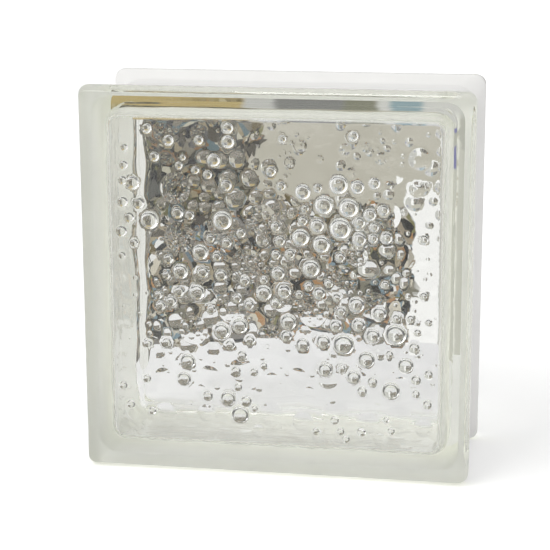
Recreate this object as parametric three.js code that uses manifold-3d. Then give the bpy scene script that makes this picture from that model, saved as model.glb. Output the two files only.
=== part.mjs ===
// A square hollow glass block with a bubble relief, standing upright on its edge.
//
// Two equal pressed glass half shells meet at the seam halfway through the depth. Each has a
// patterned pane, four drafted side walls and a full-size rim behind its face. Between the rims a
// mortar channel runs round the edge of the block, and a white coating lines it.
//
// Units are millimetres. +X runs across the front face, +Y from the front face to the rear face
// and +Z up. The origin is at the middle of the underside, on the plane of the seam.

import * as THREE from "three";
import { mergeVertices } from "three/addons/utils/BufferGeometryUtils.js";
import Module from "manifold-3d";

const wasm = await Module();
wasm.setup();

// Block
const FACE_SIZE = 190; // width and height of both faces
const BLOCK_DEPTH = 80; // from face to face
const RIM_CORNER = 5; // corner radius of the rim, seen from the front
const FACE_EDGE = { across: 3.6, deep: 5.5 }; // round shoulder from the face out to the rim

// Mortar channel
const RIM_WIDTH = 7; // stretch of the depth that keeps the full size behind each face
const RIM_SLOPE = 6; // stretch in which the rim falls to the floor of the channel
const CHANNEL_DEPTH = 5.5; // from the rim down to the floor of the channel
const CHANNEL_CORNER = 9; // corner radius of the floor of the channel
const COATING = 0.5; // thickness of the white coating

// Glass
const PANE_THICKNESS = 8;
const WALL_AT_PANE = 5.5; // side wall under the channel floor, where the pane's fillet ends
const WALL_AT_SEAM = 5; // the same wall at the seam, thinned by the draft
const CAVITY_CORNER = 8.5; // corner radius of the hollow next to the pane
const PANE_FILLET = { across: 4.5, deep: 20 }; // from the pane into the side walls, inside

// Bubble relief on the inner surface of each pane
const RELIEF_MARGIN = 1; // clear strip between the fillet and the rim of a bubble
const BUBBLE_ANGLE = 64; // degrees between a bubble's flank and the pane, at its rim
const SHALLOW_ANGLE = 22; // the same on a shallow bubble
const BUBBLE_GAP = 0.4; // least distance between the rims of two bubbles
const SMALL_BUBBLE = { least: 3, most: 5.4 }; // diameters of the scattered bubbles
const SCATTER_PER_CM2 = 0.1; // places tried for a scattered bubble, for each cm2 of relief
const SCATTER_SEED = 20457;
const DISH_DEPTH = 0.9; // depth of the shallow dishes under the bubbles
const ROOT = 1.6; // how far a bubble's base is sunk into the pane, below any dish

// Bubbles placed by hand: across and up from the middle of the pane, and diameter.
const PLACED_BUBBLES = [
  // upper right cluster
  [32, 29, 10.3], [24, 40, 8.9], [36, 39, 9.3], [31, 50, 9.3], [14, 46, 7.7], [40, 49, 6.7],
  [23, 21, 8.4], [13, 24, 8.4], [21, 30, 6.8], [41, 32, 5.8], [41, 24, 6.7], [46, 36, 6.2],
  // right edge, from the top down
  [54, 25, 5.7], [51, -12, 6.8], [59, -22, 10.3],
  [48, -23, 6.8], [64, -37, 7.7], [57, -50, 8.8], [69, -44, 4.8],
  // middle and lower middle
  [18, 9, 8.5], [2, 6, 6.5], [5, -3, 6.5], [-5, -4, 7.9], [22, -3, 5.8], [40, -8, 7.8],
  [41, -18, 6.4], [7, -18, 7.9], [14, -29, 6.9], [24, -27, 6.9], [34, -28, 10.4],
  [45, -35, 8.3], [25, -41, 6.9], [39, -44, 6.8], [-17, -66, 9],
  // left half, from the top down
  [-22, 69, 6.4], [-51, 69, 5.5], [-69, 48, 7], [-23, 48, 5.5], [-25, 31, 9.5], [-47, 34, 5.9],
  [-61, 30, 9.2], [-75, 24, 5.6], [-36, 15, 7.9], [-46, 5, 7.7], [-26, 4, 5.9], [-38, -5, 8],
  [-26, -24, 8], [-17, -21, 7.9], [-43, -40, 7.8], [-45, -49, 7.1], [-23, -58, 7.7],
];
const FINE_BUBBLES = [
  // upper half, from the top down
  [-22, 75.5, 5.6], [-58, 61, 5], [-44, 61, 3], [-29, 60, 6.5], [-38, 55, 4], [-32, 53, 4.5],
  [-67, 38, 5.5], [-76, 38, 5], [48, 51, 5.7], [21, 48, 4.4], [15, 38, 3.9],
  [-41, 33, 4.5], [14, 32, 4.5], [-71, 31, 5], [48, 30, 4.8], [-16, 25, 4.5], [3, 22, 4.9],
  [-31, 22, 4.2], [-4, 21, 2.9], [-23, 20, 4.9], [32, 15, 4.8], [1, 15, 4.5], [-28, 13, 4.4],
  [-52, 11, 5], [-35, 5, 5.6], [-53, 3, 4], [-5, 2.3, 3.9], [17, 0, 4.5],
  // lower half, from the top down
  [-47, -5, 5.6], [-57, -7, 4], [-51, -10, 5.6], [-31, -13, 4], [59, -14, 3.9], [66, -14, 3.8],
  [30, -19, 5.5], [6, -25, 5.5], [-12, -28, 5], [-22, -31, 5], [56, -32, 3.9], [-16, -36, 5],
  [33, -40, 3.9], [-19, -44, 5], [-10, -44, 4], [48, -46, 4.9], [43, -51, 4.9], [69, -51, 3.9],
  [-18, -52, 4], [-14, -59, 5.6],
];
const SHALLOW_BUBBLES = [
  [69, 63, 11], [51, 63, 6.5], [68, 49, 7.6], [34, 67, 6], [44, 68, 5], [13, 68, 6], [8, 60, 5],
  [37, 56, 5], [22, 62, 4],
];

// Dishes placed by hand: across and up from the middle of the pane, and diameter.
const PLACED_DISHES = [
  [32, 3, 16.5], [19, -12, 15], [-21, -12, 15], [-13, 10, 15], [-6, 32, 14.5],
  [-46, 22, 15], [-48, 46, 15], [-2, -26, 13], [4, -8, 10], [40, 16, 10.5], [-40, -24, 14],
];

// Fineness of the facets
const ROUND_STEPS = 3; // along the round of a face edge and along the pane fillet
const SLOPE_STEPS = 4; // down the slope of a rim
const CORNER_STEPS = 3; // half the facets of each corner
const BUBBLE_FACET = 2.4; // about the side of a bubble's facets
const DISH_FACETS = 12; // round each dish
const MERGE_DISTANCE = 1e-4;
const CUT_OVERRUN = 1; // how far a cutting solid reaches past the surface that it opens

const faceHalf = FACE_SIZE / 2;
const seamDepth = BLOCK_DEPTH / 2;
const channelHalf = faceHalf - CHANNEL_DEPTH;
const cavityHalf = channelHalf - WALL_AT_PANE;
const reliefHalf = cavityHalf - PANE_FILLET.across;
const quarterTurn = Math.PI / 2;

const glass = new THREE.MeshStandardMaterial({
  name: "glass",
  color: 0xdfe6df,
  roughness: 0.04,
  metalness: 0,
  transparent: true,
  opacity: 0.35,
});
const coatingWhite = new THREE.MeshStandardMaterial({
  name: "edge_coating",
  color: 0xececf0,
  roughness: 0.6,
  metalness: 0,
});

// Even steps from 0 to 1, both included.
function steps(count) {
  return Array.from({ length: count + 1 }, (_, i) => i / count);
}

// A closed geometry as a solid that can be cut and joined.
function solidFrom(geometry) {
  geometry.deleteAttribute("normal");
  geometry.deleteAttribute("uv");
  const merged = mergeVertices(geometry, MERGE_DISTANCE);
  return new wasm.Manifold(
    new wasm.Mesh({
      numProp: 3,
      vertProperties: merged.getAttribute("position").array,
      triVerts: new Uint32Array(merged.index.array),
    }),
  );
}

function meshFrom(solid, name, material) {
  const { vertProperties, triVerts } = solid.getMesh();
  const geometry = new THREE.BufferGeometry();
  geometry.setAttribute("position", new THREE.BufferAttribute(vertProperties, 3));
  geometry.setIndex(new THREE.BufferAttribute(triVerts, 1));
  geometry.computeVertexNormals();
  const mesh = new THREE.Mesh(geometry, material);
  mesh.name = name;
  return mesh;
}

// A rounded square round the middle of the block, as points in turning order.
function roundedSquare(half, corner) {
  const centre = half - corner;
  const outline = new THREE.Shape();
  outline.absarc(centre, centre, corner, 0, quarterTurn);
  outline.absarc(-centre, centre, corner, quarterTurn, 2 * quarterTurn);
  outline.absarc(-centre, -centre, corner, 2 * quarterTurn, 3 * quarterTurn);
  outline.absarc(centre, -centre, corner, 3 * quarterTurn, 4 * quarterTurn);
  const points = outline.getPoints(CORNER_STEPS);
  const closes = points[0].distanceTo(points.at(-1)) < MERGE_DISTANCE;
  return closes ? points.slice(0, -1) : points;
}

// A closed solid through rounded squares, each at its own depth behind the front face.
function loft(sections) {
  const outlines = sections.map(({ half, corner }) => roundedSquare(half, corner));
  const count = outlines[0].length;
  const positions = outlines.flatMap((outline, k) =>
    outline.flatMap((point) => [point.x, sections[k].depth - seamDepth, point.y + faceHalf]),
  );
  const indices = [];
  for (let k = 0; k + 1 < sections.length; k++) {
    for (let i = 0; i < count; i++) {
      const near = k * count + i;
      const nextNear = k * count + ((i + 1) % count);
      indices.push(near, near + count, nextNear);
      indices.push(nextNear, near + count, nextNear + count);
    }
  }
  const cap = THREE.ShapeUtils.triangulateShape(outlines[0], []);
  const last = (sections.length - 1) * count;
  for (const [a, b, c] of cap) {
    indices.push(a, b, c);
    indices.push(last + c, last + b, last + a);
  }
  const geometry = new THREE.BufferGeometry();
  geometry.setAttribute("position", new THREE.Float32BufferAttribute(positions, 3));
  geometry.setIndex(indices);
  return solidFrom(geometry);
}

// The outlines along a quarter ellipse that widens from an inset outline to the full one.
function quarterRound(depth, half, corner, across, deep) {
  return steps(ROUND_STEPS).map((t) => {
    const inset = across * (1 - Math.sin(t * quarterTurn));
    return {
      depth: depth + deep * (1 - Math.cos(t * quarterTurn)),
      half: half - inset,
      corner: corner - inset,
    };
  });
}

// The rim's fall to the channel floor, and the floor as far as the seam.
function channelSections() {
  const slope = steps(SLOPE_STEPS).map((t) => {
    const fallen = (1 - Math.cos(t * Math.PI)) / 2;
    return {
      depth: RIM_WIDTH + RIM_SLOPE * t,
      half: faceHalf - CHANNEL_DEPTH * fallen,
      corner: RIM_CORNER + (CHANNEL_CORNER - RIM_CORNER) * fallen,
    };
  });
  return [...slope, { depth: seamDepth, half: channelHalf, corner: CHANNEL_CORNER }];
}

function halfOutside() {
  const shoulder = quarterRound(0, faceHalf, RIM_CORNER, FACE_EDGE.across, FACE_EDGE.deep);
  return [...shoulder, ...channelSections()];
}

// The hollow of one half: the pane's fillet, then the drafted walls out through the seam.
function halfHollow() {
  const seamHalf = channelHalf - WALL_AT_SEAM;
  const seamCorner = CAVITY_CORNER + seamHalf - cavityHalf;
  return [
    ...quarterRound(PANE_THICKNESS, cavityHalf, CAVITY_CORNER, PANE_FILLET.across, PANE_FILLET.deep),
    { depth: seamDepth, half: seamHalf, corner: seamCorner },
    { depth: seamDepth + CUT_OVERRUN, half: seamHalf, corner: seamCorner },
  ];
}

// The sections of one half and their mirror image in the other half.
function bothHalves(sections) {
  const mirrored = sections.slice(0, -1).map((s) => ({ ...s, depth: BLOCK_DEPTH - s.depth }));
  return [...sections, ...mirrored.reverse()];
}

// A repeatable stream of numbers between 0 and 1.
function* randomStream(seed) {
  const modulus = 2147483647;
  for (let state = seed; ; ) {
    state = (state * 48271) % modulus;
    yield state / modulus;
  }
}

function isOnRelief([across, up, diameter]) {
  const reach = reliefHalf - RELIEF_MARGIN - diameter / 2;
  return Math.abs(across) <= reach && Math.abs(up) <= reach;
}

// Every bubble of a pane: the placed ones, then small ones scattered where there is room.
function bubbleLayout() {
  const bubbles = [...SHALLOW_BUBBLES, ...PLACED_BUBBLES, ...FINE_BUBBLES].filter(isOnRelief);
  const random = randomStream(SCATTER_SEED);
  const draw = (least, most) => least + (most - least) * random.next().value;
  const reliefCm2 = (reliefHalf / 5) ** 2;
  for (let tried = 0; tried < SCATTER_PER_CM2 * reliefCm2; tried++) {
    const across = draw(-reliefHalf, reliefHalf);
    const up = draw(-reliefHalf, reliefHalf);
    const candidate = [across, up, draw(SMALL_BUBBLE.least, SMALL_BUBBLE.most)];
    const isClear = bubbles.every(([x, z, diameter]) => {
      const apart = (diameter + candidate[2]) / 2 + BUBBLE_GAP;
      return (x - across) ** 2 + (z - up) ** 2 > apart ** 2;
    });
    if (isClear && isOnRelief(candidate)) bubbles.push(candidate);
  }
  return bubbles;
}

// A profile turned round a line through the pane, at its place on the inner surface.
function turnedOnPane(profile, facets, across, up) {
  const geometry = new THREE.LatheGeometry(profile, facets);
  geometry.translate(across, PANE_THICKNESS - seamDepth, up + faceHalf);
  return solidFrom(geometry);
}

// A dome that stands on the pane, with a root in the glass.
function bubble(place) {
  const [across, up, diameter] = place;
  const isShallow = SHALLOW_BUBBLES.includes(place);
  const angle = THREE.MathUtils.degToRad(isShallow ? SHALLOW_ANGLE : BUBBLE_ANGLE);
  const radius = diameter / 2 / Math.sin(angle);
  const facetsUp = Math.ceil((radius * angle) / BUBBLE_FACET);
  const facetsRound = Math.ceil((diameter * Math.PI) / BUBBLE_FACET);
  const dome = steps(Math.max(2, facetsUp)).map((t) => {
    const a = angle * (1 - t);
    return new THREE.Vector2(radius * Math.sin(a), radius * (Math.cos(a) - Math.cos(angle)));
  });
  const root = [new THREE.Vector2(0, -ROOT), new THREE.Vector2(diameter / 2, -ROOT)];
  return turnedOnPane([...root, ...dome], Math.max(7, facetsRound), across, up);
}

// The cutter of a shallow dish in the pane.
function dish([across, up, diameter]) {
  const rim = diameter / 2;
  const radius = (rim ** 2 + DISH_DEPTH ** 2) / (2 * DISH_DEPTH);
  const angle = Math.asin(rim / radius);
  const bowl = steps(2).map((t) => {
    const a = angle * t;
    return new THREE.Vector2(radius * Math.sin(a), radius * (1 - Math.cos(a)) - DISH_DEPTH);
  });
  const lid = [new THREE.Vector2(rim, CUT_OVERRUN), new THREE.Vector2(0, CUT_OVERRUN)];
  return turnedOnPane([...bowl, ...lid], DISH_FACETS, across, up);
}

// One pressed half, with its face at the front and its open side on the seam.
function halfShell() {
  let shell = loft(halfOutside()).subtract(loft(halfHollow()));
  for (const place of PLACED_DISHES.filter(isOnRelief)) shell = shell.subtract(dish(place));
  for (const place of bubbleLayout()) shell = shell.add(bubble(place));
  return shell;
}

// The coating follows the channel up both slopes, as far as it stays inside the rims.
function edgeCoating() {
  const lined = channelSections()
    .map((s) => ({ depth: s.depth, half: s.half + COATING, corner: s.corner + COATING }))
    .filter((s) => s.half <= faceHalf);
  return loft(bothHalves(lined)).subtract(loft(bothHalves(halfOutside())));
}

const block = new THREE.Group();
const shell = halfShell();
const rear = meshFrom(shell, "rear_half_shell", glass);
rear.rotation.z = Math.PI;
block.add(meshFrom(shell, "front_half_shell", glass));
block.add(rear);
block.add(meshFrom(edgeCoating(), "edge_coating", coatingWhite));

export default block;
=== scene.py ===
"""A hollow glass block with a bubble relief, on a pale floor in soft studio light.

The two pressed halves are fused, so one mesh stands for both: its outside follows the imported
model, and its inside carries the bubble relief at full fineness. A second mesh is the white
coating of the mortar channel.

Sizes are millimetres until a mesh or an object is made. X runs across the front face, Y from the
front face to the rear face and Z up. The origin is in the middle of the underside, on the seam.
"""

import math

import bmesh
import bpy
import numpy as np
from mathutils import Matrix, Vector, noise
from mathutils.geometry import delaunay_2d_cdt

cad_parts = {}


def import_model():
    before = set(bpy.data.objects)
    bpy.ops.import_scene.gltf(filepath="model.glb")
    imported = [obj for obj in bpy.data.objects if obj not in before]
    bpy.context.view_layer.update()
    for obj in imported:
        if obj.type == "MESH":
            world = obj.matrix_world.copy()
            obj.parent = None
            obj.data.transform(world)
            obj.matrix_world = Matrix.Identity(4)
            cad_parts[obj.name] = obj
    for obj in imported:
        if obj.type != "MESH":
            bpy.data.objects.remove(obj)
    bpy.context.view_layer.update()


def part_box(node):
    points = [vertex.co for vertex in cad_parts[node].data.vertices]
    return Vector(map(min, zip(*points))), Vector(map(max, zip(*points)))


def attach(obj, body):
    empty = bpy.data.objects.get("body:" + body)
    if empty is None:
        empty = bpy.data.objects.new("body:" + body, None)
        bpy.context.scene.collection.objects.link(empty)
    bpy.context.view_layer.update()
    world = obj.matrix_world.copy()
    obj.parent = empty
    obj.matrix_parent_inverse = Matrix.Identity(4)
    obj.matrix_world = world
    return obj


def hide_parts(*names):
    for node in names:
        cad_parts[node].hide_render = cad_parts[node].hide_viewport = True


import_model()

MM = 0.001
QUARTER_TURN = math.pi / 2

# Block
front_low, front_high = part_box("front_half_shell")
FACE_HALF = (front_high[0] - front_low[0]) / 2 / MM
SEAM_DEPTH = (front_high[1] - front_low[1]) / MM
RIM_CORNER = 5  # corner radius of the rim
FACE_EDGE = {"across": 3.6, "deep": 5.5}  # shoulder from the face out to the rim
EDGE_ROUND = 2.6  # between the face and the straight flank of the shoulder
FLANK_SHARES = (0.05, 0.9, 1)  # where the flank has sections

# Mortar channel
RIM_WIDTH = 7
RIM_SLOPE = 6
CHANNEL_DEPTH = 5.5
CHANNEL_CORNER = 9
COATING = 0.5
COATING_START = 0.1  # share of the slope that stays bare
COATING_LIFT = 0.06  # between the glass and the inside of the coating's own mesh
FLOOR_LEVEL = 0.99  # least share of a normal that points up on the floor of the top channel
SEAM_BEAD = {"height": 0.18, "half_width": 1.6}
LOOSE_START = 0  # from here back the coating of the top lies loose on the glass

# Glass
PANE_THICKNESS = 8
WALL_AT_PANE = 5.5  # side wall under the channel floor, where the fillet of the pane ends
WALL_AT_SEAM = 5  # the same wall at the seam, thinned by the draft
CAVITY_CORNER = 8.5  # of the hollow, next to the pane
SEAM_CORNER = 9.5  # of the hollow, at the seam
PANE_FILLET = {"across": 4.5, "deep": 20}  # between the pane and the side walls, inside
CHANNEL_HALF = FACE_HALF - CHANNEL_DEPTH
CAVITY_HALF = CHANNEL_HALF - WALL_AT_PANE
SEAM_HALF = CHANNEL_HALF - WALL_AT_SEAM
RELIEF_HALF = CAVITY_HALF - PANE_FILLET["across"]
RELIEF_CORNER = CAVITY_CORNER - PANE_FILLET["across"]

# Relief
RELIEF_MARGIN = 1
BUBBLE_ANGLE = math.radians(64)  # between a bubble's flank and the pane
BUBBLE_FOOT = 1.03  # radius of a bubble where its fillet meets the pane, over its stated radius
BUBBLE_FILLET = 0.1  # radius of that fillet, over the radius of the dome
BUBBLE_GAP = 0.4
SMALL_BUBBLE = {"least": 3, "most": 5.4}
SCATTER_PER_CM2 = 0.4
SCATTER_SEED = 20457
DISH_DEPTH = 0.9
SWELLS = ({"length": 22, "height": 0.5}, {"length": 9, "height": 0.1})
SWELL_SHIFT = 7.3  # keeps the two swells from lining up
SWELL_ON_WALLS = 0.4  # share of the unevenness that the walls have
SWELL_FADE = 8  # stretch before the seam in which it fades out
RIPPLE = {"length": 6, "height": 0.75, "power": 4}  # of the walls at the left and at the bottom
SHALLOW_ANGLE = math.radians(22)  # between a shallow bubble's flank and the pane
PIMPLE = {"least": 1.5, "most": 2.8}  # diameters
PIMPLES = 150  # places tried

# Bubbles at set places: across and up from the middle of the pane, and diameter.
PLACED_BUBBLES = [
    # upper right cluster
    (32, 29, 10.3), (24, 40, 8.9), (36, 39, 9.3), (31, 50, 9.3), (14, 46, 7.7), (40, 49, 6.7),
    (23, 21, 8.4), (13, 24, 8.4), (21, 30, 6.8), (41, 32, 5.8), (41, 24, 6.7), (46, 36, 6.2),
    # right edge, from the top down
    (54, 25, 5.7), (51, -12, 6.8), (59, -22, 10.3),
    (48, -23, 6.8), (64, -37, 7.7), (57, -50, 8.8), (69, -44, 4.8),
    # middle and lower middle
    (18, 9, 8.5), (2, 6, 6.5), (5, -3, 6.5), (-5, -4, 7.9), (22, -3, 5.8), (40, -8, 7.8),
    (41, -18, 6.4), (7, -18, 7.9), (14, -29, 6.9), (24, -27, 6.9), (34, -28, 10.4),
    (45, -35, 8.3), (25, -41, 6.9), (39, -44, 6.8), (-17, -66, 9),
    # left half, from the top down
    (-22, 69, 6.4), (-51, 69, 5.5), (-69, 48, 7), (-23, 48, 5.5), (-25, 31, 9.5), (-47, 34, 5.9),
    (-61, 30, 9.2), (-75, 24, 5.6), (-36, 15, 7.9), (-46, 5, 7.7), (-26, 4, 5.9), (-38, -5, 8),
    (-26, -24, 8), (-17, -21, 7.9), (-43, -40, 7.8), (-45, -49, 7.1), (-23, -58, 7.7),
]
FINE_BUBBLES = [
    # upper half, from the top down
    (-22, 75.5, 5.6), (-58, 61, 5), (-44, 61, 3), (-29, 60, 6.5), (-38, 55, 4), (-32, 53, 4.5),
    (-66, 38, 5.5), (48, 51, 5.7), (21, 48, 4.4), (15, 38, 3.9),
    (-41, 33, 4.5), (14, 32, 4.5), (-71, 31, 5), (48, 30, 4.8), (-16, 25, 4.5), (3, 22, 4.9),
    (-31, 22, 4.2), (-4, 21, 2.9), (-23, 20, 4.9), (32, 15, 4.8), (1, 15, 4.5), (-28, 13, 4.4),
    (-52, 11, 5), (-35, 5, 5.6), (-53, 3, 4), (-5, 2.3, 3.9), (17, 0, 4.5),
    (-72.6, 65, 3.6), (-73.2, 56.5, 4.3), (-73.8, 49, 4.3), (-74, 38.5, 5.2), (-75, 12, 3.6),
    # lower half, from the top down
    (-47, -5, 5.6), (-57, -7, 4), (-51, -10, 5.6), (-31, -13, 4), (59, -14, 3.9), (66, -14, 3.8),
    (30, -19, 5.5), (6, -25, 5.5), (-12, -28, 5), (-22, -31, 5), (56, -32, 3.9), (-16, -36, 5),
    (33, -40, 3.9), (-19, -44, 5), (-10, -44, 4), (48, -46, 4.9), (43, -51, 4.9), (69, -51, 3.9),
    (-18, -52, 4), (-14, -59, 5.6),
]
SHALLOW_BUBBLES = [
    (69, 63, 11), (51, 63, 6.5), (68, 49, 7.6), (34, 67, 6), (44, 68, 5), (13, 68, 6), (8, 60, 5),
    (37, 56, 5), (22, 62, 4),
]

# Dishes at set places: across and up from the middle of the pane, and diameter.
PLACED_DISHES = [
    (32, 3, 16.5), (19, -12, 15), (-21, -12, 15), (-13, 10, 15), (-6, 32, 14.5),
    (-46, 22, 15), (-48, 46, 15), (-2, -26, 13), (4, -8, 10), (40, 16, 10.5), (-40, -24, 14),
]
EDGE_DISHES = [
    (-55, -68, 12), (-34, -66, 9), (-2, -65, 12), (14, -68, 10), (30, -63, 13), (46, -67, 11),
    (61, -63, 12), (73, -68, 9), (-8, -74, 7), (22, -75, 7), (52, -75, 7),
]
DISHES = PLACED_DISHES + EDGE_DISHES

# Fineness
CORNER_STEPS = 8
SIDE_STEPS = 50
ROUND_STEPS = 12  # along the fillet of the pane
SLOPE_STEPS = 12
EDGE_STEPS = 9  # round the edge of the face
BEAD_STEPS = 4
WALL_STEPS = 8
FILLET_STEPS = 3  # at the foot of a bubble
RELIEF_GRID = 1.7  # between the points of the plain pane
RING_SPACING = 0.75  # between the rings of a bubble
LEAST_RINGS = 4
FACET_LENGTH = 0.85  # round a bubble or a dish
LEAST_FACETS = 10
SUPPORT = 0.4  # from a sharp line to the points that hold it
FLAT_MERGE = 1e-5  # millimetres within which points of the relief are one
MESH_MERGE = 1e-6  # metres within which vertices are one

FLOOR_GAP = 0.1  # keeps the ground apart from the underside of the glass

# Camera
CAMERA = {
    "lens": 111.7,
    "azimuth": 10.29,
    "elevation": 13.45,
    "roll": -0.19,
    "distance": 854.5,
    "target": (-5.84, 0, 91.71),
    "sensor": 36,
}


# ---------------------------------------------------------------- outlines and lofts


def steps(count):
    """Even steps from 0 to 1, both included."""
    return [i / count for i in range(count + 1)]


def outline(half, corner):
    """A rounded square as (across, up) points round the middle of the block, anticlockwise."""
    centre = half - corner
    quarter = [
        (centre + corner * math.cos(t * QUARTER_TURN), centre + corner * math.sin(t * QUARTER_TURN))
        for t in steps(CORNER_STEPS)
    ]
    quarter += [(centre - 2 * centre * t, half) for t in steps(SIDE_STEPS)[1:-1]]
    points = []
    for _ in range(4):
        points += quarter
        quarter = [(-up, across) for across, up in quarter]
    return points


def placed(across, depth, up):
    """A point in the row frame, from its place on the face and its depth behind it."""
    return Vector((across, depth - SEAM_DEPTH, up + FACE_HALF)) * MM


def quarter_round(depth, half, corner, across, deep):
    """Sections (depth, half, corner) along a quarter ellipse, from an inset outline out."""
    sections = []
    for t in steps(ROUND_STEPS):
        inset = across * (1 - math.sin(t * QUARTER_TURN))
        behind = deep * (1 - math.cos(t * QUARTER_TURN))
        sections.append((depth + behind, half - inset, corner - inset))
    return sections


def shoulder():
    """Sections from the face over a small round and up the flank to the rim."""
    across, deep = FACE_EDGE["across"], FACE_EDGE["deep"]
    lean = math.atan2(deep, across)
    line = [(0, across + SUPPORT)]
    for t in steps(EDGE_STEPS):
        turned = lean * t
        line.append((EDGE_ROUND * (1 - math.cos(turned)), across - EDGE_ROUND * math.sin(turned)))
    depth, inset = line[-1]
    for t in FLANK_SHARES:
        line.append((depth + (deep - depth) * t, inset * (1 - t)))
    line.append((deep + SUPPORT, 0))
    return [(d, FACE_HALF - i, RIM_CORNER - i) for d, i in line]


def slope_section(t):
    """The rim's fall to the channel floor, at share t of its length."""
    fallen = (1 - math.cos(t * math.pi)) / 2
    half = FACE_HALF - CHANNEL_DEPTH * fallen
    corner = RIM_CORNER + (CHANNEL_CORNER - RIM_CORNER) * fallen
    return (RIM_WIDTH + RIM_SLOPE * t, half, corner)


def channel_floor():
    """The channel floor from the slope to the seam, with the raised line of the fused seam."""
    half_width = SEAM_BEAD["half_width"]
    sections = []
    for t in steps(BEAD_STEPS):
        rise = SEAM_BEAD["height"] * (1 - math.cos(t * math.pi)) / 2
        depth = SEAM_DEPTH - half_width * (1 - t)
        sections.append((depth, CHANNEL_HALF + rise, CHANNEL_CORNER + rise))
    return sections


def mirrored(sections):
    """The sections of one half, followed by their mirror image in the other half."""
    return sections + [(2 * SEAM_DEPTH - d, h, c) for d, h, c in reversed(sections[:-1])]


def add_rings(mesh, sections, closed=False):
    """Adds a loft through the sections to a bmesh and returns its rings of vertices."""
    rings = [
        [mesh.verts.new(placed(across, depth, up)) for across, up in outline(half, corner)]
        for depth, half, corner in sections
    ]
    pairs = list(zip(rings, rings[1:] + rings[:1]))
    for near, far in pairs if closed else pairs[:-1]:
        for i in range(len(near)):
            j = (i + 1) % len(near)
            mesh.faces.new((near[i], far[i], far[j], near[j]))
    return rings


# ---------------------------------------------------------------- relief


def random_stream(seed):
    """A repeatable stream of numbers between 0 and 1."""
    modulus = 2147483647
    state = seed
    while True:
        state = state * 48271 % modulus
        yield state / modulus


def is_on_relief(place):
    across, up, diameter = place
    reach = RELIEF_HALF - RELIEF_MARGIN - diameter / 2
    return abs(across) <= reach and abs(up) <= reach


def scatter(placed, tries, sizes, random):
    """Adds (across, up, diameter) at random places of the pane where there is room."""

    def draw(least, most):
        return least + (most - least) * next(random)

    for _ in range(tries):
        across = draw(-RELIEF_HALF, RELIEF_HALF)
        up = draw(-RELIEF_HALF, RELIEF_HALF)
        diameter = draw(sizes["least"], sizes["most"])
        is_clear = all(
            math.hypot(x - across, z - up) > (d + diameter) / 2 + BUBBLE_GAP
            for x, z, d in placed
        )
        if is_clear and is_on_relief((across, up, diameter)):
            placed.append((across, up, diameter))


def bubble_layout():
    """Every bubble of a pane: the placed ones, small ones scattered among them, and pimples."""
    places = [b for b in SHALLOW_BUBBLES + PLACED_BUBBLES + FINE_BUBBLES if is_on_relief(b)]
    random = random_stream(SCATTER_SEED)
    relief_cm2 = (2 * RELIEF_HALF / 10) ** 2
    scatter(places, math.ceil(SCATTER_PER_CM2 * relief_cm2), SMALL_BUBBLE, random)
    full = len(places)
    scatter(places, PIMPLES, PIMPLE, random)
    shallow = set(SHALLOW_BUBBLES + places[full:])
    return [(*p, SHALLOW_ANGLE if p in shallow else BUBBLE_ANGLE) for p in places]


def swell(across, up, depth=PANE_THICKNESS):
    """The gentle unevenness of pressed glass, in millimetres, fading out at the seam."""
    total = 0
    for i, wave in enumerate(SWELLS):
        place = Vector((across, up, depth)) / wave["length"] + Vector((0, 0, SWELL_SHIFT * i))
        total += wave["height"] * noise.noise(place)
    return total * min(1, (SEAM_DEPTH - depth) / SWELL_FADE)


def dome_sizes(diameter, angle):
    """Radius of a bubble's dome, of its fillet, of its foot, and where dome and fillet meet."""
    foot = BUBBLE_FOOT * diameter / 2
    sunk = math.cos(angle)
    dome = foot / math.sqrt((1 + BUBBLE_FILLET) ** 2 - (BUBBLE_FILLET + sunk) ** 2)
    fillet = BUBBLE_FILLET * dome
    return dome, fillet, foot, foot * dome / (dome + fillet)


def dome_height(off, diameter, angle):
    """Height of a bubble at distances off its middle: part of a ball with a fillet at its foot."""
    dome, fillet, foot, meeting = dome_sizes(diameter, angle)
    ball = np.sqrt(np.maximum(dome**2 - off**2, 0)) - dome * math.cos(angle)
    round_foot = fillet - np.sqrt(np.maximum(fillet**2 - (foot - off) ** 2, 0))
    return np.where(off < meeting, ball, np.where(off < foot, round_foot, 0))


def relief_height(points, bubbles):
    """How far the inner surface stands off the plain pane at each (across, up) point."""
    across, up = np.array(points).T
    height = np.array([swell(x, z) for x, z in points])
    for x, z, diameter in DISHES:
        rim = diameter / 2
        radius = (rim**2 + DISH_DEPTH**2) / (2 * DISH_DEPTH)
        off = (across - x) ** 2 + (up - z) ** 2
        bowl = DISH_DEPTH - radius + np.sqrt(np.maximum(radius**2 - off, 0))
        height -= np.where(off < rim**2, bowl, 0)
    domes = np.zeros(len(points))
    for x, z, diameter, angle in bubbles:
        domes = np.maximum(domes, dome_height(np.hypot(across - x, up - z), diameter, angle))
    return height + domes


def circle(across, up, radius):
    """Points round a circle, about one facet apart."""
    count = max(LEAST_FACETS, round(2 * math.pi * radius / FACET_LENGTH))
    turns = [2 * math.pi * i / count for i in range(count)]
    return [(across + radius * math.cos(a), up + radius * math.sin(a)) for a in turns]


def dome_points(bubble):
    """Points of a bubble: its top, and rings at even angles down to its foot."""
    across, up, diameter, angle = bubble
    dome, fillet, foot, meeting = dome_sizes(diameter, angle)
    flank = math.asin(meeting / dome)
    rings = max(LEAST_RINGS, round(dome * flank / RING_SPACING))
    points = [(across, up)]
    for t in steps(rings)[1:]:
        points += circle(across, up, dome * math.sin(flank * t))
    for t in steps(FILLET_STEPS)[1:]:
        points += circle(across, up, foot - fillet * math.sin(flank * (1 - t)))
    return points


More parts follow.
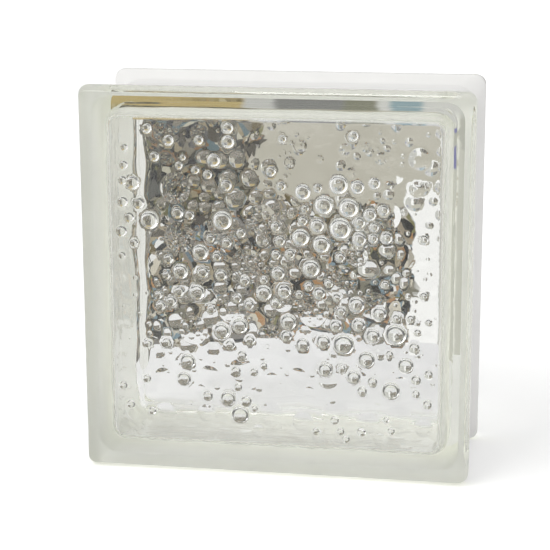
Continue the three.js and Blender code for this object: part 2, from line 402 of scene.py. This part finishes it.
def relief_points(bubbles):
    """The points of the relief: its border, the bubbles, the dishes and a grid between them."""
    centres = np.array([(x, z) for x, z, *_ in bubbles])
    reach = np.array([dome_sizes(d, a)[2] for _, _, d, a in bubbles])
    border = outline(RELIEF_HALF, RELIEF_CORNER)
    points = list(border)
    for bubble in bubbles:
        points += dome_points(bubble)

    def is_free(point, clearance):
        inside = max(abs(point[0]), abs(point[1])) < RELIEF_HALF - clearance
        return inside and np.all(np.hypot(*(centres - point).T) > reach + clearance / 2)

    for across, up, diameter in DISHES:
        for radius in (diameter / 2 - SUPPORT, diameter / 2, diameter / 2 + SUPPORT):
            points += [p for p in circle(across, up, radius) if is_free(p, SUPPORT)]
    rows = math.ceil(RELIEF_HALF / RELIEF_GRID)
    for row in range(-rows, rows + 1):
        for column in range(-rows, rows + 1):
            point = (RELIEF_GRID * (column + row % 2 / 2), RELIEF_GRID * row)
            if is_free(point, RELIEF_GRID / 2):
                points.append(point)
    return points, len(border)


def add_relief(mesh, bubbles, turn):
    """Adds the patterned inner surface of one pane, turned with its half."""
    points, border = relief_points(bubbles)
    edges = [(i, (i + 1) % border) for i in range(border)]
    places = [Vector(p) for p in points]
    flat, _, faces, *_ = delaunay_2d_cdt(places, edges, [], 1, FLAT_MERGE)
    heights = relief_height([tuple(p) for p in flat], bubbles)
    verts = [
        mesh.verts.new(turn @ placed(p.x, PANE_THICKNESS + h, p.y))
        for p, h in zip(flat, heights)
    ]
    for face in faces:
        mesh.faces.new([verts[i] for i in face])


# ---------------------------------------------------------------- pieces


def shell_outside():
    """The outside of the fused block, as a closed bmesh. Coated faces have material 1."""
    mesh = bmesh.new()
    face = shoulder()
    slope = [slope_section(t) for t in steps(SLOPE_STEPS)]
    sections = mirrored(face + slope + channel_floor())
    rings = add_rings(mesh, sections)
    mesh.faces.new(rings[0])
    mesh.faces.new(rings[-1])
    bmesh.ops.recalc_face_normals(mesh, faces=mesh.faces)
    start = slope_section(COATING_START)[0]
    for coated in mesh.faces:
        middle = coated.calc_center_median() / MM
        is_lined = abs(middle.y) < SEAM_DEPTH - start
        is_on_top_floor = coated.normal.z > FLOOR_LEVEL and middle.z > FACE_HALF
        is_loose = is_on_top_floor and middle.y > LOOSE_START
        if is_lined and not is_loose:
            coated.material_index = 1
    return mesh


def inner_walls():
    """Sections of one half's fillet and drafted walls, with the share of each that faces in."""
    fillet = quarter_round(PANE_THICKNESS, CAVITY_HALF, CAVITY_CORNER, **PANE_FILLET)
    sections = [(*s, math.sin(t * QUARTER_TURN)) for s, t in zip(fillet, steps(ROUND_STEPS))]
    depth, half, corner = fillet[-1]
    for t in steps(WALL_STEPS)[1:]:
        here = depth + (SEAM_DEPTH - depth) * t
        sections.append((here, half + (SEAM_HALF - half) * t, corner + (SEAM_CORNER - corner) * t, 1))
    return sections


def wall_swell(place, depth):
    """The unevenness of the walls, which is finer on the left and at the bottom."""
    reach = max(abs(place.x), abs(place.y))
    share = max(-place.x, -place.y, 0) / reach
    ripple = RIPPLE["height"] * noise.noise(Vector((*place, depth)) / RIPPLE["length"])
    return SWELL_ON_WALLS * swell(*place, depth) + share ** RIPPLE["power"] * ripple


def add_inner_walls(mesh, turn):
    """Adds the uneven fillet and walls of one half, turned with it."""
    rings = []
    for depth, half, corner, inwards in inner_walls():
        ring = []
        # the outline a millimetre further in gives the way in
        for here, inner in zip(outline(half, corner), outline(half - 1, corner - 1)):
            here = Vector(here)
            height = swell(*here, depth) * (1 - inwards) + wall_swell(here, depth) * inwards
            across, up = here + (Vector(inner) - here) * height * inwards
            sunk = depth + height * math.sqrt(1 - inwards**2)
            ring.append(mesh.verts.new(turn @ placed(across, sunk, up)))
        rings.append(ring)
    for near, far in zip(rings, rings[1:]):
        for i in range(len(near)):
            mesh.faces.new((near[i - 1], far[i - 1], far[i], near[i]))


def shell_inside():
    """The surface of the sealed hollow, as a closed bmesh."""
    mesh = bmesh.new()
    bubbles = bubble_layout()
    for turn in (Matrix.Identity(4), Matrix.Rotation(math.pi, 4, "Z")):
        add_inner_walls(mesh, turn)
        add_relief(mesh, bubbles, turn)
    return mesh


def close_up(mesh, is_hollow=False):
    """Joins the seams of a bmesh and turns its faces outwards, or inwards for a hollow."""
    bmesh.ops.remove_doubles(mesh, verts=mesh.verts, dist=MESH_MERGE)
    bmesh.ops.recalc_face_normals(mesh, faces=mesh.faces)
    if is_hollow:
        bmesh.ops.reverse_faces(mesh, faces=mesh.faces)


def as_object(name, parts, materials):
    """One smooth-shaded object from closed bmeshes."""
    data = bpy.data.meshes.new(name)
    whole = bmesh.new()
    for part in parts:
        part.to_mesh(data)
        whole.from_mesh(data)
        part.free()
    whole.to_mesh(data)
    whole.free()
    data.shade_smooth()
    for material in materials:
        data.materials.append(material)
    made = bpy.data.objects.new(name, data)
    bpy.context.scene.collection.objects.link(made)
    return made


def glass_shell(materials):
    outside = shell_outside()
    close_up(outside)
    inside = shell_inside()
    close_up(inside, is_hollow=True)
    made = as_object("glass_shell", [outside, inside], materials)
    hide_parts("front_half_shell", "rear_half_shell")
    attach(made, "root")


def edge_coating(material):
    """The coating as a closed ring: its outer side, then back along the glass."""
    mesh = bmesh.new()
    shares = [COATING_START + (1 - COATING_START) * t for t in steps(SLOPE_STEPS)]
    line = mirrored([slope_section(t) for t in shares] + channel_floor())
    outer = [(d, min(h + COATING, FACE_HALF), c + COATING) for d, h, c in line]
    inner = [(d, h + COATING_LIFT, c + COATING_LIFT) for d, h, c in reversed(line)]
    add_rings(mesh, outer + inner, closed=True)
    close_up(mesh)
    made = as_object("edge_coating_layer", [mesh], [material])
    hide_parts("edge_coating")
    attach(made, "root")


# ---------------------------------------------------------------- shader nodes


def maths(nodes, links, operation, *values):
    """A Math node over sockets or numbers."""
    made = nodes.new("ShaderNodeMath")
    made.operation = operation
    for socket, value in zip(made.inputs, values):
        if isinstance(value, bpy.types.NodeSocket):
            links.new(value, socket)
        else:
            socket.default_value = value
    return made.outputs[0]


def mixed_colour(nodes, links, share, low, high):
    """A colour between two, each a socket or three numbers."""
    mix = nodes.new("ShaderNodeMix")
    mix.data_type = "RGBA"
    links.new(share, mix.inputs["Factor"])
    for name, value in (("A", low), ("B", high)):
        if isinstance(value, bpy.types.NodeSocket):
            links.new(value, mix.inputs[name])
        else:
            mix.inputs[name].default_value = (*value, 1)
    return mix.outputs["Result"]


def step_at(nodes, links, value, low, high, top=1):
    """A ramp from 0 at low to top at high."""
    made = nodes.new("ShaderNodeMapRange")
    made.inputs["From Min"].default_value = low
    made.inputs["From Max"].default_value = high
    made.inputs["To Max"].default_value = top
    links.new(value, made.inputs["Value"])
    return made.outputs["Result"]


def object_place(nodes):
    """A place in the object's own space, in metres."""
    return nodes.new("ShaderNodeTexCoord").outputs["Object"]


def object_axes(nodes, links):
    """The X, Y and Z of a place on the object."""
    parts = nodes.new("ShaderNodeSeparateXYZ")
    links.new(object_place(nodes), parts.inputs[0])
    return [parts.outputs[axis] for axis in "XYZ"]


def noise_node(nodes, links, scale, detail=3, roughness=0.5):
    """A noise texture in object space, with its scale in cycles per millimetre."""
    made = nodes.new("ShaderNodeTexNoise")
    made.inputs["Scale"].default_value = scale / MM
    made.inputs["Detail"].default_value = detail
    made.inputs["Roughness"].default_value = roughness
    links.new(object_place(nodes), made.inputs["Vector"])
    return made


def colour_stops(nodes, links, share, places, colours):
    """A colour ramp over a share, with a stop for each place and colour."""
    ramp = nodes.new("ShaderNodeValToRGB")
    stops = ramp.color_ramp.elements
    stops.remove(stops[-1])
    for i, (at, colour) in enumerate(zip(places, colours)):
        stop = stops[0] if i == 0 else stops.new(at)
        stop.position = at
        stop.color = (*colour, 1)
    links.new(share, ramp.inputs[0])
    return ramp


def is_ray_of(nodes, links, kinds):
    """1 where a ray is of any of these kinds of the Light Path node, and 0 elsewhere."""
    path = nodes.new("ShaderNodeLightPath")
    answer = path.outputs[kinds[0]]
    for kind in kinds[1:]:
        answer = maths(nodes, links, "MAXIMUM", answer, path.outputs[kind])
    return answer


def material_nodes(name):
    material = bpy.data.materials.new(name)
    material.use_nodes = True
    return material, material.node_tree.nodes, material.node_tree.links


def new_material(name):
    material, nodes, links = material_nodes(name)
    return material, nodes, links, nodes["Principled BSDF"]


# ---------------------------------------------------------------- materials

GLASS = {"ior": 1.52, "tint": (0.79, 0.82, 0.58), "density": 4}  # density of the tint per metre

# The coating in the open: its clouds of colour and its grain. Scales are in cycles per millimetre.
COATING_LOOK = {
    "low": (0.84, 0.835, 0.815),
    "high": (0.92, 0.915, 0.895),
    "cloud_scale": 0.08,
    "roughness": 0.55,
    "grain_scale": 0.9,
    "grain_depth": 0.1,
    "grain_strength": 0.35,
}

# Painted shade and light on the coating seen through the glass: the depth over which it turns
# from the shaded tone near the front face to the lit tone, and how much brighter it is painted between
# two heights, as shares of that.
WETTED_PAINTED_LIGHT = {
    "shaded_tone": (0.7, 0.7, 0.7),
    "lit_tone": (0.95, 0.95, 0.94),
    "from": -30,
    "to": 20,
    "painted_light_rises": [(10, 50, 0.3), (150, 190, 0.4)],
    "mottle": 0.25,
    "mottle_scale": 0.05,
}


def glass_material():
    material, nodes, links, shader = new_material("glass")
    shader.inputs["Base Color"].default_value = (1, 1, 1, 1)
    shader.inputs["Transmission Weight"].default_value = 1
    shader.inputs["IOR"].default_value = GLASS["ior"]
    shader.inputs["Roughness"].default_value = 0
    absorption = nodes.new("ShaderNodeVolumeAbsorption")
    absorption.inputs["Color"].default_value = (*GLASS["tint"], 1)
    absorption.inputs["Density"].default_value = GLASS["density"]
    links.new(absorption.outputs["Volume"], nodes["Material Output"].inputs["Volume"])
    return material


def coating_material():
    material, nodes, links, shader = new_material("edge_coating")
    look = COATING_LOOK
    clouds = noise_node(nodes, links, look["cloud_scale"]).outputs["Fac"]
    colour = mixed_colour(nodes, links, clouds, look["low"], look["high"])
    links.new(colour, shader.inputs["Base Color"])
    shader.inputs["Roughness"].default_value = look["roughness"]
    bump = nodes.new("ShaderNodeBump")
    bump.inputs["Strength"].default_value = look["grain_strength"]
    bump.inputs["Distance"].default_value = look["grain_depth"] * MM
    grain = noise_node(nodes, links, look["grain_scale"]).outputs["Fac"]
    links.new(grain, bump.inputs["Height"])
    links.new(bump.outputs["Normal"], shader.inputs["Normal"])
    return material


def wetted_coating_material():
    """The coating where it wets the glass: only its colour shows, with no gloss of its own.

    It carries painted shade and light: greyer towards the front face and along the bottom, brighter
    near the top.
    """
    material, nodes, links, shader = new_material("edge_coating_on_glass")
    _, depth, up = object_axes(nodes, links)
    # painted shade: darker towards the front face, the lit tone further back
    share = step_at(nodes, links, depth, WETTED_PAINTED_LIGHT["from"] * MM, WETTED_PAINTED_LIGHT["to"] * MM)
    # painted light: brighter above each pair of heights, so the bottom stays darkest
    for low, high, more in WETTED_PAINTED_LIGHT["painted_light_rises"]:
        above = step_at(nodes, links, up, low * MM, high * MM, more)
        share = maths(nodes, links, "ADD", share, above)
    mottle = noise_node(nodes, links, WETTED_PAINTED_LIGHT["mottle_scale"]).outputs["Fac"]
    mottle = step_at(nodes, links, mottle, 0, 1, WETTED_PAINTED_LIGHT["mottle"])
    share = maths(nodes, links, "ADD", share, mottle)
    colour = mixed_colour(nodes, links, share, WETTED_PAINTED_LIGHT["shaded_tone"], WETTED_PAINTED_LIGHT["lit_tone"])
    links.new(colour, shader.inputs["Base Color"])
    shader.inputs["Roughness"].default_value = 1
    shader.inputs["Specular IOR Level"].default_value = 0
    return material


# ---------------------------------------------------------------- light and floor

# In metres, like the lamps. The camera sees the tones for near and far, and other rays the colour.
FLOOR = {
    "half": 6,
    "colour": (0.94, 0.94, 0.95),
    "near": (1.18, 1.18, 1.18),
    "far": (1.5, 1.5, 1.5),
    "near_to": 0.15,
    "far_from": 0.5,
}
WORLD_LIGHT = 0.75
KEY_LAMP = {"place": (-0.9, -1.2, 1.5), "size": 1.2, "power": 11}
STRIP_LAMP = {"place": (-0.16, -0.4, 1.7), "size": 0.34, "length": 1, "power": 7}


def world():
    """Plain light, and a white backdrop for the camera and for what shows through the glass."""
    made = bpy.data.worlds.new("studio")
    bpy.context.scene.world = made
    made.use_nodes = True
    nodes, links = made.node_tree.nodes, made.node_tree.links
    light = nodes["Background"]
    light.inputs["Color"].default_value = (1, 1, 1, 1)
    light.inputs["Strength"].default_value = WORLD_LIGHT
    backdrop = nodes.new("ShaderNodeBackground")
    backdrop.inputs["Color"].default_value = (1, 1, 1, 1)
    mix = nodes.new("ShaderNodeMixShader")
    seen = is_ray_of(nodes, links, ["Is Camera Ray", "Is Transmission Ray"])
    links.new(seen, mix.inputs[0])
    links.new(light.outputs[0], mix.inputs[1])
    links.new(backdrop.outputs[0], mix.inputs[2])
    links.new(mix.outputs[0], nodes["World Output"].inputs["Surface"])


def floor():
    data = bpy.data.meshes.new("floor")
    half, low = FLOOR["half"], -FLOOR_GAP * MM
    corners = [(-half, -half, low), (half, -half, low), (half, half, low), (-half, half, low)]
    data.from_pydata(corners, [], [(0, 1, 2, 3)])
    material, nodes, links, shader = new_material("floor")
    shader.inputs["Roughness"].default_value = 1
    shader.inputs["Specular IOR Level"].default_value = 0
    off = nodes.new("ShaderNodeVectorMath")
    off.operation = "LENGTH"
    links.new(object_place(nodes), off.inputs[0])
    far = step_at(nodes, links, off.outputs["Value"], FLOOR["near_to"], FLOOR["far_from"])
    paper = mixed_colour(nodes, links, far, FLOOR["near"], FLOOR["far"])
    seen = is_ray_of(nodes, links, ["Is Camera Ray"])
    colour = mixed_colour(nodes, links, seen, FLOOR["colour"], paper)
    links.new(colour, shader.inputs["Base Color"])
    data.materials.append(material)
    made = bpy.data.objects.new("floor", data)
    bpy.context.scene.collection.objects.link(made)


def lamp(name, settings):
    """A square lamp that faces the middle of the block."""
    data = bpy.data.lights.new(name, "AREA")
    data.shape = "SQUARE"
    data.size = settings["size"]
    data.energy = settings["power"]
    made = bpy.data.objects.new(name, data)
    made.location = settings["place"]
    aim = Vector((0, 0, FACE_HALF * MM)) - made.location
    made.rotation_euler = aim.to_track_quat("-Z", "Y").to_euler()
    bpy.context.scene.collection.objects.link(made)
    return made


def strip_lamp():
    """A long lamp overhead, seen only as a line of light along the top edge."""
    made = lamp("strip", STRIP_LAMP)
    made.rotation_euler = (0, 0, 0)
    made.data.shape = "RECTANGLE"
    made.data.size_y = STRIP_LAMP["length"]
    made.visible_diffuse = False
    made.visible_transmission = False


# ---------------------------------------------------------------- the room seen in the glass

# The clutter of a room, on a ring that no ray sees but those that come out of the glass. A patch
# of the ring gives its turn round the block (0 is behind it, 90 on its right) and half its width in
# degrees, and its height up the ring and half its own height in millimetres.
SURROUND = {"radius": 222, "across": 30, "height": 330, "segments": 96}
# In front of the block the ring fades out above a height, over these depths and heights.
RING_OPENING = {"from_depth": -40, "to_depth": -120, "from_up": 120, "to_up": 140}
ROOM_WALL = (0.8, 0.8, 0.77)
CLUTTER_SIZE = {"coarse": 10, "fine": 3.5, "tiny": 4}
CLUTTER_NOISE = 0.6  # cycles of the noise that bends the clutter, over one clutter size
CLUTTER_COLOURS = {
    "coarse": [
        (0.2, 0.19, 0.14), (0.03, 0.03, 0.02), (0.36, 0.31, 0.21), (0.08, 0.07, 0.055),
        (0.26, 0.23, 0.18), (0.14, 0.19, 0.22), (0.26, 0.25, 0.23), (0.42, 0.39, 0.32),
        (0.1, 0.09, 0.07), (0.33, 0.28, 0.2), (0.04, 0.037, 0.027), (0.2, 0.19, 0.17),
    ],
    "fine": [
        (0.015, 0.014, 0.01), (0.6, 0.56, 0.46), (0.13, 0.1, 0.04), (0.05, 0.05, 0.04),
        (0.4, 0.22, 0.09), (0.8, 0.8, 0.78), (0.03, 0.028, 0.02), (0.2, 0.19, 0.08),
        (0.18, 0.26, 0.3), (0.3, 0.26, 0.19), (0.02, 0.02, 0.02), (0.5, 0.47, 0.4),
    ],
    "tiny": [
        (0.01, 0.01, 0.008), (0.17, 0.155, 0.11), (0.46, 0.44, 0.34), (0.04, 0.035, 0.02),
        (0.12, 0.115, 0.045), (0.015, 0.015, 0.015), (0.2, 0.11, 0.04), (0.08, 0.08, 0.07),
        (0.28, 0.24, 0.15), (0.005, 0.005, 0.005), (0.1, 0.15, 0.16), (0.06, 0.05, 0.03),
        (0.02, 0.02, 0.015), (0.2, 0.185, 0.14),
    ],
}
CLUTTERED = {"turn": -16, "up": 85, "half_turn": 33, "half_up": 105}  # the stretch of wall with clutter
# The noise that picks coarse or fine clutter, and the one that shifts the edges of the patches, by
# up to half its span either way.
SPECKLE = {"scale": 0.05, "detail": 4, "roughness": 0.7, "from": 0.47, "to": 0.49}
RAGGED = {"scale": 0.035, "detail": 4, "roughness": 0.65, "span": 50}
PATCH_BLEND = 0.7  # half the blend at the edge of a patch
ROOM_PATCHES = [
    # seen through the front pane
    {"turn": -30, "up": 128, "half_turn": 15, "half_up": 40, "clutter": "tiny"},
    {"turn": 1.5, "up": 116, "half_turn": 16.5, "half_up": 32, "colour": (0.5, 0.48, 0.4)},
    {"turn": 14.2, "up": 50, "half_turn": 3.4, "half_up": 52, "ragged": 0.6,
     "colour": (0.98, 0.98, 0.96)},
    # seen through the glass of the wall on the right
    {"turn": 42, "up": 85, "half_turn": 24, "half_up": 120, "ragged": 0.1,
     "colour": (0.56, 0.56, 0.52)},
    {"turn": 42, "up": 160, "half_turn": 24, "half_up": 35, "ragged": 0.6,
     "colour": (0.46, 0.46, 0.43)},
    {"turn": 32, "up": 156, "half_turn": 3, "half_up": 1.5, "ragged": 0, "colour": (0.2, 0.2, 0.4)},
    {"turn": 32, "up": 143, "half_turn": 3, "half_up": 3, "ragged": 0, "colour": (0.2, 0.2, 0.4)},
    {"turn": 32, "up": 124, "half_turn": 3, "half_up": 7, "ragged": 0, "colour": (0.2, 0.2, 0.4)},
    # in front of the block
    {"turn": 180, "up": 60, "half_turn": 60, "half_up": 90, "colour": (0.14, 0.14, 0.14)},
]
# The top of the ring, seen through the glass of the wall at the top: plain things in a row, each
# with the turn where it starts. The row drops to a lower start to the right of one turn.
SHELF = {"up": 156, "turn": -15, "drop": 9, "top": 238}
SHELF_EDGE = {"up": 3, "turn": 1}  # half the blend at its lower and upper ends, and at the drop
SHELF_ENDS = (-50, 50)
SHELF_BLEND = 1  # degrees over which one thing turns into the next
SHELF_THINGS = [
    (-50, (0.45, 0.35, 0.15)),  # wood
    (-16, (0.5, 0.5, 0.5)),  # wall
    (-11, (0.2, 0.2, 0.2)),  # dark cloth
    (0, (0.2, 0.2, 0.15)),  # leaves
    (5, (0.6, 0.6, 0.6)),  # wall
    (7, (0.25, 0.35, 0.4)),  # blue jug
    (12, (0.6, 0.6, 0.6)),  # wall
]


def surround():
    """A ring round the block that only rays out of the glass see."""
    mesh = bmesh.new()
    middle = Vector((SURROUND["across"], 0, SURROUND["height"] / 2))
    bmesh.ops.create_cone(
        mesh,
        segments=SURROUND["segments"],
        radius1=SURROUND["radius"] * MM,
        radius2=SURROUND["radius"] * MM,
        depth=SURROUND["height"] * MM,
        matrix=Matrix.Translation(middle * MM),
    )
    made = as_object("surround", [mesh], [room_material()])
    made.visible_camera = False
    made.visible_diffuse = False
    made.visible_glossy = False
    made.visible_volume_scatter = False
    made.visible_shadow = False


def clutter(nodes, links, kind):
    """Ragged patches in the colours of a cluttered room."""
    size = CLUTTER_SIZE[kind] * MM
    ragged = noise_node(nodes, links, CLUTTER_NOISE * MM / size)
    shifted = nodes.new("ShaderNodeVectorMath")
    shifted.operation = "MULTIPLY_ADD"
    links.new(ragged.outputs["Color"], shifted.inputs[0])
    shifted.inputs[1].default_value = [size] * 3
    links.new(object_place(nodes), shifted.inputs[2])
    cells = nodes.new("ShaderNodeTexVoronoi")
    cells.inputs["Scale"].default_value = 1 / size
    links.new(shifted.outputs[0], cells.inputs["Vector"])
    parts = nodes.new("ShaderNodeSeparateColor")
    links.new(cells.outputs["Color"], parts.inputs[0])
    colours = CLUTTER_COLOURS[kind]
    places = [i / len(colours) for i in range(len(colours))]
    ramp = colour_stops(nodes, links, parts.outputs[0], places, colours)
    ramp.color_ramp.interpolation = "CONSTANT"
    return ramp.outputs["Color"]


def shelf_colours(nodes, links, turn):
    """The colours along the top of the ring, with a short blend where each thing starts."""
    least, most = SHELF_ENDS
    places, colours = [], []
    ends = [start for start, _ in SHELF_THINGS[1:]] + [most]
    for (start, colour), end in zip(SHELF_THINGS, ends):
        places += [(at - least) / (most - least) for at in (start + SHELF_BLEND, end)]
        colours += [colour, colour]
    share = step_at(nodes, links, turn, least, most)
    return colour_stops(nodes, links, share, places, colours).outputs["Color"]


def patch_mask(nodes, links, turn, up, shift, patch):
    """1 inside a patch of the ring and 0 outside it."""
    sideways = maths(nodes, links, "SUBTRACT", turn, patch["turn"])
    sideways = maths(nodes, links, "PINGPONG", sideways, 180)
    sideways = maths(nodes, links, "SUBTRACT", sideways, patch["half_turn"])
    sideways = maths(nodes, links, "MULTIPLY", sideways, math.radians(SURROUND["radius"]))
    upwards = maths(nodes, links, "SUBTRACT", up, patch["up"])
    upwards = maths(nodes, links, "ABSOLUTE", upwards)
    upwards = maths(nodes, links, "SUBTRACT", upwards, patch["half_up"])
    away = maths(nodes, links, "MAXIMUM", sideways, upwards)
    shift = maths(nodes, links, "MULTIPLY", shift, patch.get("ragged", 1))
    away = maths(nodes, links, "ADD", away, shift)
    return step_at(nodes, links, away, PATCH_BLEND, -PATCH_BLEND)


def room_colour(nodes, links, turn, up):
    """The wall of the room with its clutter, its patches and its shelf."""
    ragged = noise_node(nodes, links, RAGGED["scale"], RAGGED["detail"], RAGGED["roughness"])
    shift = maths(nodes, links, "SUBTRACT", ragged.outputs["Fac"], 0.5)
    shift = maths(nodes, links, "MULTIPLY", shift, RAGGED["span"])
    speckled = noise_node(nodes, links, SPECKLE["scale"], SPECKLE["detail"], SPECKLE["roughness"])
    speckled = step_at(nodes, links, speckled.outputs["Fac"], SPECKLE["from"], SPECKLE["to"])
    coarse, fine = clutter(nodes, links, "coarse"), clutter(nodes, links, "fine")
    colour = mixed_colour(nodes, links, speckled, coarse, fine)
    mask = patch_mask(nodes, links, turn, up, shift, CLUTTERED)
    colour = mixed_colour(nodes, links, mask, ROOM_WALL, colour)
    for patch in ROOM_PATCHES:
        kind = patch.get("clutter")
        shown = clutter(nodes, links, kind) if kind else patch["colour"]
        mask = patch_mask(nodes, links, turn, up, shift, patch)
        colour = mixed_colour(nodes, links, mask, colour, shown)
    low, top, drop_turn = SHELF["up"], SHELF["top"], SHELF["turn"]
    half_up, half_turn = SHELF_EDGE["up"], SHELF_EDGE["turn"]
    dropped = step_at(
        nodes, links, turn, drop_turn - half_turn, drop_turn + half_turn, SHELF["drop"]
    )
    is_shelf = maths(nodes, links, "ADD", up, dropped)
    is_shelf = step_at(nodes, links, is_shelf, low - half_up, low + half_up)
    is_below = step_at(nodes, links, up, top + half_up, top - half_up)
    colour = mixed_colour(nodes, links, is_below, ROOM_WALL, colour)
    is_shelf = maths(nodes, links, "MULTIPLY", is_shelf, is_below)
    return mixed_colour(nodes, links, is_shelf, colour, shelf_colours(nodes, links, turn))


def room_material():
    """The glowing room, open above its front and to rays that left a matt surface."""
    material, nodes, links = material_nodes("room")
    nodes.remove(nodes["Principled BSDF"])
    across, depth, height = object_axes(nodes, links)
    turn = maths(nodes, links, "ARCTAN2", across, depth)
    turn = maths(nodes, links, "MULTIPLY", turn, math.degrees(1))
    up = maths(nodes, links, "DIVIDE", height, MM)
    glow = nodes.new("ShaderNodeEmission")
    links.new(room_colour(nodes, links, turn, up), glow.inputs["Color"])
    gap = RING_OPENING
    front = step_at(nodes, links, depth, gap["from_depth"] * MM, gap["to_depth"] * MM)
    high = step_at(nodes, links, up, gap["from_up"], gap["to_up"])
    clear = maths(nodes, links, "MULTIPLY", front, high)
    past_diffuse = nodes.new("ShaderNodeLightPath").outputs["Diffuse Depth"]
    clear = maths(nodes, links, "MAXIMUM", clear, past_diffuse)
    clear = maths(nodes, links, "MINIMUM", clear, 1)
    open_air = nodes.new("ShaderNodeBsdfTransparent")
    mix = nodes.new("ShaderNodeMixShader")
    links.new(clear, mix.inputs[0])
    links.new(glow.outputs[0], mix.inputs[1])
    links.new(open_air.outputs[0], mix.inputs[2])
    links.new(mix.outputs[0], nodes["Material Output"].inputs["Surface"])
    return material


# ---------------------------------------------------------------- camera and settings


def camera():
    data = bpy.data.cameras.new("camera")
    data.lens = CAMERA["lens"]
    data.sensor_width = CAMERA["sensor"]
    made = bpy.data.objects.new("camera", data)
    azimuth, elevation = math.radians(CAMERA["azimuth"]), math.radians(CAMERA["elevation"])
    level = math.cos(elevation)
    back = Vector((math.sin(azimuth) * level, -math.cos(azimuth) * level, math.sin(elevation)))
    made.location = (Vector(CAMERA["target"]) + CAMERA["distance"] * back) * MM
    look = (-back).to_track_quat("-Z", "Y").to_matrix()
    roll = Matrix.Rotation(math.radians(CAMERA["roll"]), 3, "Z")
    made.rotation_euler = (look @ roll).to_euler()
    bpy.context.scene.collection.objects.link(made)
    bpy.context.scene.camera = made


def render_settings():
    scene = bpy.context.scene
    scene.view_settings.view_transform = "Standard"
    scene.cycles.max_bounces = 32
    scene.cycles.transmission_bounces = 32
    scene.cycles.glossy_bounces = 24
    scene.cycles.diffuse_bounces = 16
    scene.cycles.blur_glossy = 0
    scene.cycles.sample_clamp_indirect = 4


camera()
glass_shell([glass_material(), wetted_coating_material()])
edge_coating(coating_material())
world()
floor()
surround()
lamp("key", KEY_LAMP)
strip_lamp()
render_settings()
